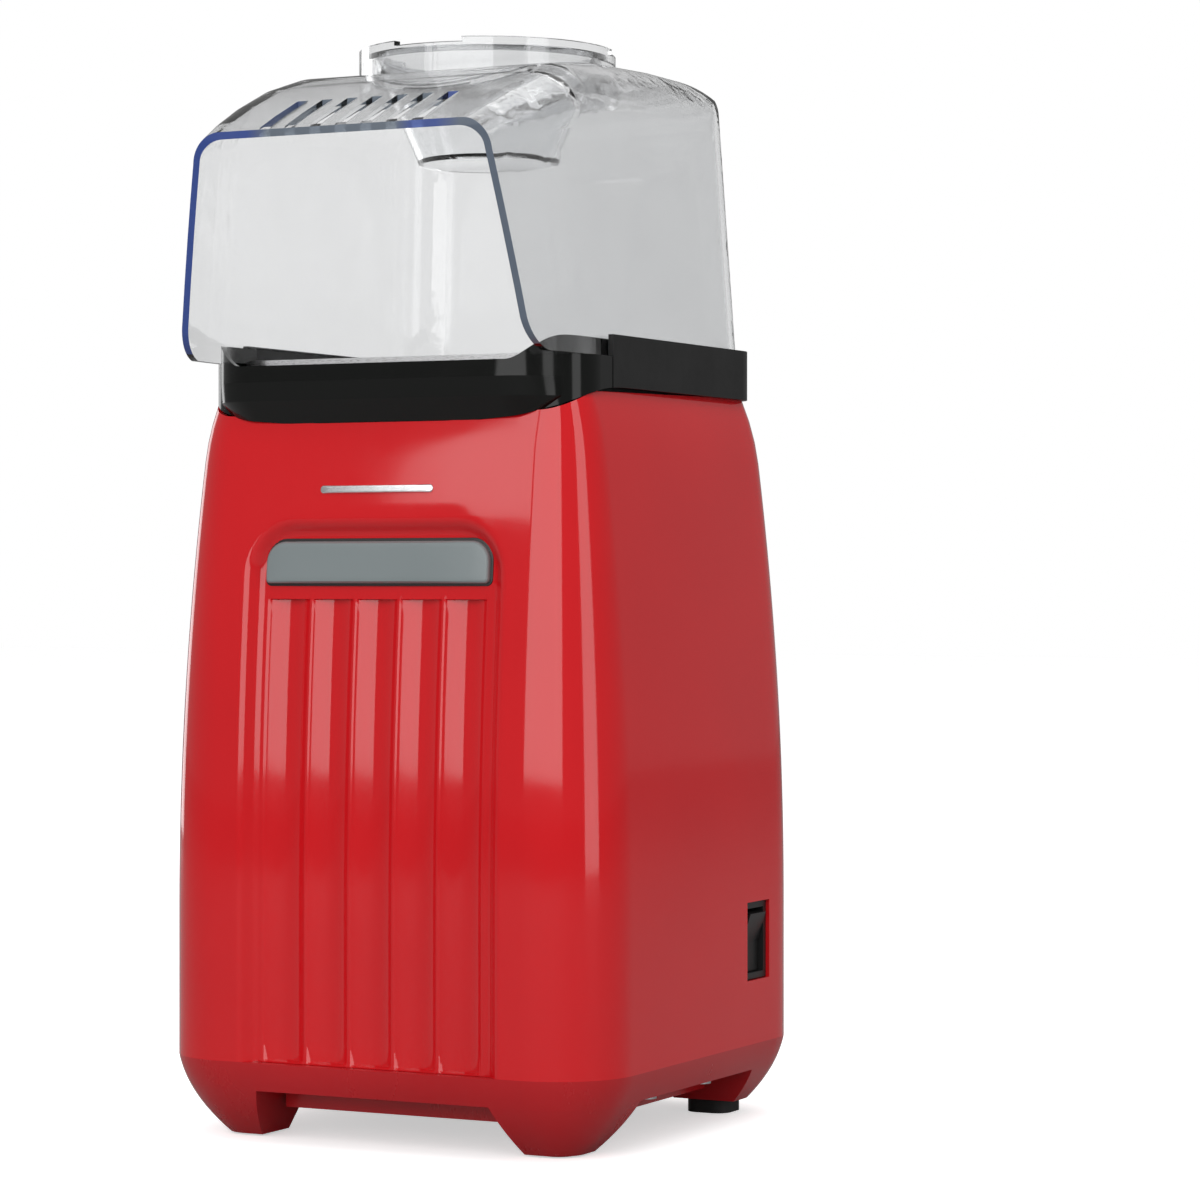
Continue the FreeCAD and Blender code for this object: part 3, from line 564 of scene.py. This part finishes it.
def reshape(obj: bpy.types.Object, rule: Callable[[float, float, float], Point]) -> None:
    """Move every point by a rule, where no operator gives the curve.

    Args:
        obj: The mesh object.
        rule: Takes a point's place in millimetres and gives its new one.
    """
    for vertex in obj.data.vertices:
        vertex.co = Vector(rule(*(vertex.co / MM))) * MM


def apply(obj: bpy.types.Object, kind: str, **settings: object) -> None:
    """Add a modifier and apply it.

    Args:
        obj: The mesh object.
        kind: The modifier's type.
        **settings: Its properties.
    """
    clear_selection()
    bpy.context.view_layer.objects.active = obj
    obj.select_set(True)
    modifier = obj.modifiers.new(kind.lower(), kind)
    for key, value in settings.items():
        setattr(modifier, key, value)
    bpy.ops.object.modifier_apply(modifier=modifier.name)


def soften(obj: bpy.types.Object, degrees: float = 35.0) -> None:
    """Shade smooth, with edges sharper than an angle kept sharp.

    Args:
        obj: The mesh object.
        degrees: The angle.
    """
    clear_selection()
    bpy.context.view_layer.objects.active = obj
    obj.select_set(True)
    bpy.ops.object.shade_smooth_by_angle(angle=math.radians(degrees))


@dataclass
class Workshop:
    """What every sub-assembly needs: the paints and the place of the working centre."""

    paint: Paintbox
    axis_y: float

    def finish(self, obj: bpy.types.Object, body: Body, slot: str, stands_for: Sequence[str],
               *finishes: Finish) -> None:
        """Put a piece in its place, dress it and hang it on its body.

        Args:
            obj: The finished mesh.
            body: The body that it rides on.
            slot: The record's material slot; not used.
            stands_for: CAD nodes that it replaces.
            *finishes: One finish per material slot of the mesh.
        """
        obj.data.transform(Matrix.Translation((0.0, self.axis_y * MM, 0.0)))
        self.paint.dress(obj, *finishes)
        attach(obj, body.value)
        if stands_for:
            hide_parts(*stands_for)
        LOG.info("piece %s: %d faces", obj.name, len(obj.data.polygons))


# ---------------------------------------------------------------- casing


@dataclass
class Casing:
    """The red housing with its recessed, fluted front panel."""

    shop: Workshop
    half: float = 67.2
    corner: float = 45.8
    bottom: float = 21.6
    top: float = 200.0
    wall: float = 2.4
    panel_half: float = 37.0
    panel_top: float = 163.4
    panel_depth: float = 3.0
    panel_corner: float = 12.5
    rim_slope: float = 2.3
    flute_pitch: float = 13.3
    flute_half: float = 6.3
    flute_depth: float = 2.2
    flute_top: float = 144.5
    flute_bottom: float = 22.0
    flute_steps: int = 10
    dip_from: float = 180.0
    lean: float = 5.1
    lean_from: float = 60.0
    lean_span: float = 103.0
    shoulder: float = 0.0075
    shoulder_from: float = 182.0
    lip_dip: float = 9.5
    lip_rise: float = 0.26
    lip_from: float = -20.0
    lip_run: float = 38.0
    rise_from: float = 18.0
    rise_run: float = 28.0
    pocket_y: tuple[float, float] = (25.7, 40.3)
    pocket_z: tuple[float, float] = (39.2, 60.8)
    cord_x: tuple[float, float] = (-5.0, 5.0)
    cord_z: tuple[float, float] = (31.0, 41.0)
    corner_steps: int = 14
    rings: int = 30

    def inset(self, z: float) -> float:
        """How far the surface stands inside the base's half width.

        Args:
            z: Height.

        Returns:
            The inset: a slow lean and then a rounded shoulder.
        """
        leaning = self.lean * (max(0.0, z - self.lean_from) / self.lean_span) ** 2
        return leaning + self.shoulder * max(0.0, z - self.shoulder_from) ** 2

    def seam(self, x: float, y: float) -> float:
        """Height of the upper edge, which dips under the collar's lip at the front.

        Args:
            x: Place across.
            y: Place from front to back.

        Returns:
            The edge's height there.
        """
        ease = 1.0 - self.lip_rise * smooth((abs(x) - self.rise_from) / self.rise_run)
        return self.top - self.lip_dip * ease * (max(0.0, self.lip_from - y) / self.lip_run) ** 4

    def flute_at(self, x: float, z: float) -> float:
        """Depth of the flutes below the panel's floor.

        Args:
            x: Place across.
            z: Height.

        Returns:
            The depth, or 0 between the flutes.
        """
        if not self.flute_bottom < z < self.flute_top or abs(x) > 2.5 * self.flute_pitch:
            return 0.0
        aside = abs((x + 2.5 * self.flute_pitch) % self.flute_pitch - self.flute_pitch / 2.0)
        if aside >= self.flute_half:
            return 0.0
        radius = (self.flute_half ** 2 + self.flute_depth ** 2) / (2.0 * self.flute_depth)
        return math.sqrt(radius ** 2 - aside ** 2) - radius + self.flute_depth

    def sunk(self, x: float, z: float) -> float:
        """Depth of the front below its own surface: the panel's soft-edged floor and its flutes.

        Args:
            x: Place across.
            z: Height.

        Returns:
            The depth.
        """
        over = abs(x) - (self.panel_half - self.panel_corner)
        above = z - (self.panel_top - self.panel_corner)
        if above > 0.0 and over > 0.0:
            inside = self.panel_corner - math.hypot(over, above)
        else:
            inside = self.panel_corner - max(over, above)
        depth = self.panel_depth * smooth((inside + self.rim_slope) / (2.0 * self.rim_slope))
        return depth + self.flute_at(x, z)

    def drape(self, x: float, y: float, z: float) -> Point:
        """Move a point of the straight prism onto the leaning, shouldered body.

        Args:
            x: Place across.
            y: Place from front to back.
            z: Height.

        Returns:
            The point's new place.
        """
        if y < -self.half + 0.01:
            y += self.sunk(x, z)
        edge_x, edge_y = self.lean_in(x, y, self.dip_from + 14.0)
        share = max(0.0, z - self.dip_from) / (self.top - self.dip_from)
        z -= share * (self.top - self.seam(edge_x, edge_y))
        return *self.lean_in(x, y, z), z

    def lean_in(self, x: float, y: float, z: float) -> tuple[float, float]:
        """Plan position of a point given on the straight prism.

        Args:
            x: Place across.
            y: Place from front to back.
            z: Height.

        Returns:
            Where the point stands across and from front to back.
        """
        core_x = max(-self.corner, min(self.corner, x))
        core_y = max(-self.corner, min(self.corner, y))
        out = Vector((x - core_x, y - core_y))
        if out.length > 1e-6:
            out *= (out.length - self.inset(z)) / out.length
        return core_x + out.x, core_y + out.y

    def build(self) -> None:
        """Model the housing: prism, recessed panel, flutes, openings, curve and wall."""
        obj = block("housing", (-self.half, -self.half, self.bottom), (self.half, self.half, self.top))
        pick_edges(obj, lambda a, b: abs(a.z - b.z) > 100.0)
        radius = (self.half - self.corner) * MM
        operate(lambda: bpy.ops.mesh.bevel(offset=radius, segments=self.corner_steps, affect="EDGES"))
        pick_faces(obj, lambda c, n: abs(n.z) > 0.9)
        operate(lambda: bpy.ops.mesh.delete(type="FACE"))
        self.cut_openings(obj)
        step = (self.top - self.bottom) / self.rings
        cut_at(obj, [self.bottom + step * i for i in range(1, self.rings)], 2)
        self.mark_panel(obj)
        reshape(obj, self.drape)
        apply(obj, "SOLIDIFY", thickness=self.wall * MM, offset=-1.0)
        soften(obj, 40.0)
        self.shop.finish(obj, Body.BASE, "red_gloss", ["housing_shell"], RED)

    def mark_panel(self, obj: bpy.types.Object) -> None:
        """Cut the lines in the front that the panel's rim, its rounded top and the flutes need."""
        front = looking(1, -1.0)
        end = 0.3
        rim_out = 2.8
        ring = 0.9
        rim_in = 3.2
        strip = 0.8
        levels = [self.flute_top, self.flute_top - end, self.flute_bottom, self.flute_bottom + end]
        levels += [self.panel_top + rim_out - ring * i for i in range(20)]
        cut_at(obj, levels, 2, front)
        sides = [self.panel_half - rim_in + strip * k for k in range(9)]
        lines = [side * x for x in sides for side in (-1, 1)]
        for i in range(-2, 3):
            for k in range(self.flute_steps + 1):
                turn = math.pi * k / self.flute_steps
                lines.append(i * self.flute_pitch - self.flute_half * math.cos(turn))
        cut_at(obj, sorted(lines), 0, front)

    def cut_openings(self, obj: bpy.types.Object) -> None:
        """Open the switch's pocket in the right side and the cord's hole in the rear."""
        right = looking(0, 1.0)
        rear = looking(1, 1.0)
        cut_at(obj, self.pocket_y, 1, right)
        cut_at(obj, self.pocket_z, 2, right)
        cut_at(obj, self.cord_x, 0, rear)
        cut_at(obj, self.cord_z, 2, rear)
        pick_faces(obj, lambda c, n: self.in_pocket(c, right(c, n)) or self.in_cord_hole(c, rear(c, n)))
        operate(lambda: bpy.ops.mesh.delete(type="FACE"))

    def in_pocket(self, centre: Vector, on_side: bool) -> bool:
        """Whether a face is the switch pocket's.

        Args:
            centre: The face's centre.
            on_side: Whether it lies on the right side.

        Returns:
            True inside the pocket's outline.
        """
        across = self.pocket_y[0] < centre.y < self.pocket_y[1]
        return on_side and across and self.pocket_z[0] < centre.z < self.pocket_z[1]

    def in_cord_hole(self, centre: Vector, on_side: bool) -> bool:
        """Whether a face is the cord hole's.

        Args:
            centre: The face's centre.
            on_side: Whether it lies on the rear.

        Returns:
            True inside the hole's outline.
        """
        across = self.cord_x[0] < centre.x < self.cord_x[1]
        return on_side and across and self.cord_z[0] < centre.z < self.cord_z[1]


@dataclass
class Badge:
    """A flat inlay on the casing's front: the grey plate, the plain bar above it, or the black sheet
    behind the plate's edge that is a painted shadow in the gap round the plate.
    """

    shop: Workshop
    casing: Casing
    name: str
    half: float
    low: float
    high: float
    top_radius: float
    low_radius: float
    outer_depth: float
    inner_depth: float
    edge: float
    swell: float = 0.35

    def build(self, slot: str, stands_for: Sequence[str], finish: Finish) -> None:
        """Model the inlay: block, rounded corners, curve of the front and a soft rim.

        Args:
            slot: The record's material slot.
            stands_for: CAD nodes that it replaces.
            finish: What it is painted with.
        """
        front = -self.casing.half
        obj = block(self.name, (-self.half, front + self.outer_depth, self.low),
                    (self.half, front + self.inner_depth, self.high))
        for at_top, radius in ((True, self.top_radius), (False, self.low_radius)):
            level = self.high if at_top else self.low
            pick_edges(obj, lambda a, b: abs(a.y - b.y) > 0.1 and abs(a.z - level) < 0.01
                       and abs(a.x) > self.half - 0.01)
            operate(lambda: bpy.ops.mesh.bevel(offset=radius * MM, segments=8, affect="EDGES"))
        near = front + self.outer_depth
        pick_edges(obj, lambda a, b: abs(a.y - near) < 0.01 and abs(b.y - near) < 0.01)
        operate(lambda: bpy.ops.mesh.bevel(offset=self.edge * MM, segments=4, affect="EDGES"))
        cut_at(obj, [self.low + (self.high - self.low) * i / 6 for i in range(1, 6)], 2)
        cut_at(obj, [self.half * i / 6 for i in range(-5, 6)], 0)
        reshape(obj, lambda x, y, z: (x, y + self.casing.inset(z) - self.arch(x, y), z))
        soften(obj, 40.0)
        self.shop.finish(obj, Body.BASE, slot, stands_for, finish)

    def arch(self, x: float, y: float) -> float:
        """How far the inlay's outer face swells.

        Args:
            x: Place across.
            y: Place from front to back.

        Returns:
            The swell, greatest at the middle, or 0 behind the outer face.
        """
        near = -self.casing.half + self.outer_depth
        return self.swell * (1.0 - (x / self.half) ** 2) if y < near + 0.1 else 0.0


# ---------------------------------------------------------------- clear hood


def copy_of(node: bpy.types.Object, name: str, axis_y: float) -> bpy.types.Object:
    """Copy a frame node's mesh to the working centre, with its doubled points merged.

    Args:
        node: The frame's node.
        name: The new piece's name.
        axis_y: Where the working centre stands in the frame, in millimetres.

    Returns:
        The new object.
    """
    obj = bpy.data.objects.new(name, node.data.copy())
    obj.data.transform(Matrix.Translation((0.0, -axis_y * MM, 0.0)))
    bpy.context.scene.collection.objects.link(obj)
    edit(obj, "VERT")
    operate(lambda: bpy.ops.mesh.select_all(action="SELECT"))
    operate(lambda: bpy.ops.mesh.remove_doubles(threshold=1e-6))
    operate(lambda: bpy.ops.mesh.customdata_custom_splitnormals_clear())
    return obj


@dataclass
class Hood:
    """The clear cover, with cut faces at the mouth, the slots' rear ends and the first slot that carry a
    painted blue edge glow.
    """

    shop: Workshop
    slot_front: float = -79.3
    slot_rear: float = -60.6
    first_slot: float = -22.8

    def build(self, node: bpy.types.Object) -> None:
        """Copy the frame's hood, merge it and give the cut faces their own finish, a painted blue edge
        glow.

        Args:
            node: The frame's hood.
        """
        obj = copy_of(node, "hood_shell", self.shop.axis_y)
        for face in obj.data.polygons:
            face.material_index = int(self.is_cut(face.center / MM, face.normal))
        soften(obj, 50.0)
        self.shop.finish(obj, Body.HOOD, "clear_plastic", ["hood"], CLEAR, CLEAR_EDGE_PAINTED_GLOW)

    def is_cut(self, centre: Vector, facing: Vector) -> bool:
        """Whether a face is one of the cut edges that gather blue light, which is painted on them.

        Args:
            centre: The face's centre, in millimetres.
            facing: Its normal.

        Returns:
            True for the mouth's edge, a slot's rear end and the first slot's sides.
        """
        mouth = facing.y < -0.6 and centre.y < -60.0 and abs(facing.x) < 0.5
        slot_end = facing.y < -0.9 and abs(centre.y - self.slot_rear) < 0.1
        first_slot = abs(centre.x - self.first_slot) < 1.8 and abs(facing.x) > 0.9 and centre.z > 255.0
        return mouth or slot_end or (first_slot and self.slot_front < centre.y < self.slot_rear)


# ---------------------------------------------------------------- studio


@dataclass(frozen=True)
class Softbox:
    """One rectangular soft light.

    Bearings are degrees from straight ahead towards the right side, and lengths are metres.
    A level box faces the body at its own height, and the other faces the floor under it.
    """

    name: str
    bearing: float
    away: float
    height: float
    size: tuple[float, float]
    radiance: float
    level: bool = True

    def build(self) -> None:
        """Hang the light."""
        light = bpy.data.lights.new(self.name, "AREA")
        light.shape = "RECTANGLE"
        light.size, light.size_y = self.size
        light.energy = self.radiance * math.pi * self.size[0] * self.size[1]
        lamp = bpy.data.objects.new(self.name, light)
        bpy.context.scene.collection.objects.link(lamp)
        turn = math.radians(self.bearing)
        lamp.location = (math.sin(turn) * self.away, -math.cos(turn) * self.away, self.height)
        aim = Vector((0.0, 0.0, self.height if self.level else 0.0))
        lamp.rotation_euler = (aim - lamp.location).to_track_quat("-Z", "Y").to_euler()


SOFTBOXES = (
    Softbox("front", bearing=7.0, away=1.35, height=0.80, size=(1.35, 1.36), radiance=2.3),
    Softbox("upper_left", bearing=-25.3, away=1.35, height=0.95, size=(0.18, 1.05), radiance=2.3),
    Softbox("far_left", bearing=-118.0, away=1.30, height=0.66, size=(0.40, 1.30), radiance=1.5),
    Softbox("right_strip", bearing=74.0, away=1.30, height=0.66, size=(0.46, 1.30), radiance=2.0),
    Softbox("overhead", bearing=150.0, away=0.25, height=1.50, size=(1.6, 1.6), radiance=1.0, level=False),
)


@dataclass
class Studio:
    """Pale floor, soft lights and the camera, round the object."""

    axis_y: float
    azimuth: float = 26.74
    distance: float = 1046.1
    height: float = 149.64
    aside: float = 31.08
    sensor: float = 36.0
    lens: float = 113.463
    shift: float = -0.017125
    floor_size: float = 12.0
    white: float = 1.0
    fill: float = 0.55
    mirrored: float = 0.28
    floor_glow: float = 0.52

    def build(self) -> None:
        """Make the floor, lights, world and camera."""
        self.floor()
        self.lights()
        self.camera()

    def floor(self) -> None:
        """Lay a wide pale floor under the feet."""
        clear_selection()
        bpy.ops.mesh.primitive_plane_add(size=self.floor_size)
        floor = fresh("studio_floor")
        g = Graph("pale floor")
        path = g.add("ShaderNodeLightPath")
        seen = g.add("ShaderNodeMath", operation="MAXIMUM")
        g.join(path.outputs["Is Camera Ray"], seen.inputs[0])
        g.join(path.outputs["Is Transmission Ray"], seen.inputs[1])
        pale = g.blend(seen.outputs["Value"], (0.34, 0.34, 0.34), (0.90, 0.90, 0.90))
        g.join(pale, g.shader.inputs["Base Color"])
        g.shader.inputs["Roughness"].default_value = 0.75
        g.shader.inputs["Specular IOR Level"].default_value = 0.1
        g.shader.inputs["Emission Color"].default_value = (1.0, 1.0, 1.0, 1.0)
        glow = g.add("ShaderNodeMath", operation="MULTIPLY")
        glow.inputs[1].default_value = self.floor_glow
        g.join(seen.outputs["Value"], glow.inputs[0])
        g.join(glow.outputs["Value"], g.shader.inputs["Emission Strength"])
        floor.data.materials.append(g.material)

    def lights(self) -> None:
        """Light the object: white all round, dimmer in reflections, and the soft boxes."""
        world = bpy.data.worlds.new("studio")
        bpy.context.scene.world = world
        world.use_nodes = True
        tree = world.node_tree
        background = tree.nodes["Background"]
        background.inputs["Color"].default_value = (1.0, 1.0, 1.0, 1.0)
        path = tree.nodes.new("ShaderNodeLightPath")
        seen = tree.nodes.new("ShaderNodeMath")
        seen.operation = "MAXIMUM"
        tree.links.new(path.outputs["Is Camera Ray"], seen.inputs[0])
        tree.links.new(path.outputs["Is Transmission Ray"], seen.inputs[1])
        unseen = tree.nodes.new("ShaderNodeMix")
        unseen.inputs["A"].default_value = self.fill
        unseen.inputs["B"].default_value = self.mirrored
        tree.links.new(path.outputs["Is Glossy Ray"], unseen.inputs["Factor"])
        level = tree.nodes.new("ShaderNodeMix")
        level.inputs["B"].default_value = self.white
        tree.links.new(seen.outputs["Value"], level.inputs["Factor"])
        tree.links.new(unseen.outputs["Result"], level.inputs["A"])
        tree.links.new(level.outputs["Result"], background.inputs["Strength"])
        for softbox in SOFTBOXES:
            softbox.build()

    def camera(self) -> None:
        """Stand the camera level with the body's upper half, turned to show the right side."""
        turn = math.radians(self.azimuth)
        across = Vector((math.cos(turn), math.sin(turn), 0.0))
        ahead = Vector((-math.sin(turn), math.cos(turn), 0.0))
        data = bpy.data.cameras.new("camera")
        data.sensor_width = self.sensor
        data.lens = self.lens
        data.shift_y = self.shift
        eye = bpy.data.objects.new("camera", data)
        eye.location = (across * self.aside - ahead * self.distance) * MM
        eye.location.y += self.axis_y * MM
        eye.location.z = self.height * MM
        eye.rotation_euler = (math.radians(90.0), 0.0, turn)
        bpy.context.scene.collection.objects.link(eye)
        bpy.context.scene.camera = eye


def main() -> None:
    """Build the looks round the frame."""
    logging.basicConfig(level=logging.INFO, format="%(message)s")
    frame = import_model()
    bpy.context.scene.view_settings.view_transform = "Standard"
    paint = Paintbox()
    _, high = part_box("cord_gland")
    axis_y = high[1] / MM - GLAND_REACH
    Studio(axis_y).build()
    slots = {part["node"]: part["material_slot"] for part in frame["record"]["subparts"]}
    for name, node in frame["nodes"].items():
        paint.dress(node, SLOT_FINISH[slots[name]])
        LOG.info("finish %s on %s", slots[name], name)
    shop = Workshop(paint, axis_y)
    casing = Casing(shop)
    casing.build()
    # Painted shadow: a black sheet just behind the plate's edge, standing proud of the panel's floor,
    # darkens the gap round the plate.
    gap_painted_shadow = Badge(shop, casing, name="plate_gap_painted_shadow", half=34.3, low=147.9, high=160.5, top_radius=6.1,
                low_radius=1.8, outer_depth=2.75, inner_depth=3.2, edge=0.2)
    gap_painted_shadow.build("black_trim", [], BLACK_SATIN)
    plate = Badge(shop, casing, name="plate", half=33.6, low=148.6, high=159.7, top_radius=5.5,
                  low_radius=1.2, outer_depth=1.1, inner_depth=3.1, edge=0.9)
    plate.build("grey_plate", ["name_plate"], GREY_PLATE)
    bar = Badge(shop, casing, name="bar", half=17.0, low=172.3, high=174.5, top_radius=1.0,
                low_radius=1.0, outer_depth=-0.45, inner_depth=0.4, edge=0.35)
    bar.build("silver_accent", ["accent_bar"], SILVER)
    nodes = frame["nodes"]
    paint.dress(nodes["measuring_cup"], CUP_CLEAR)
    Hood(shop).build(nodes["hood"])


if __name__ == "__main__":
    main()
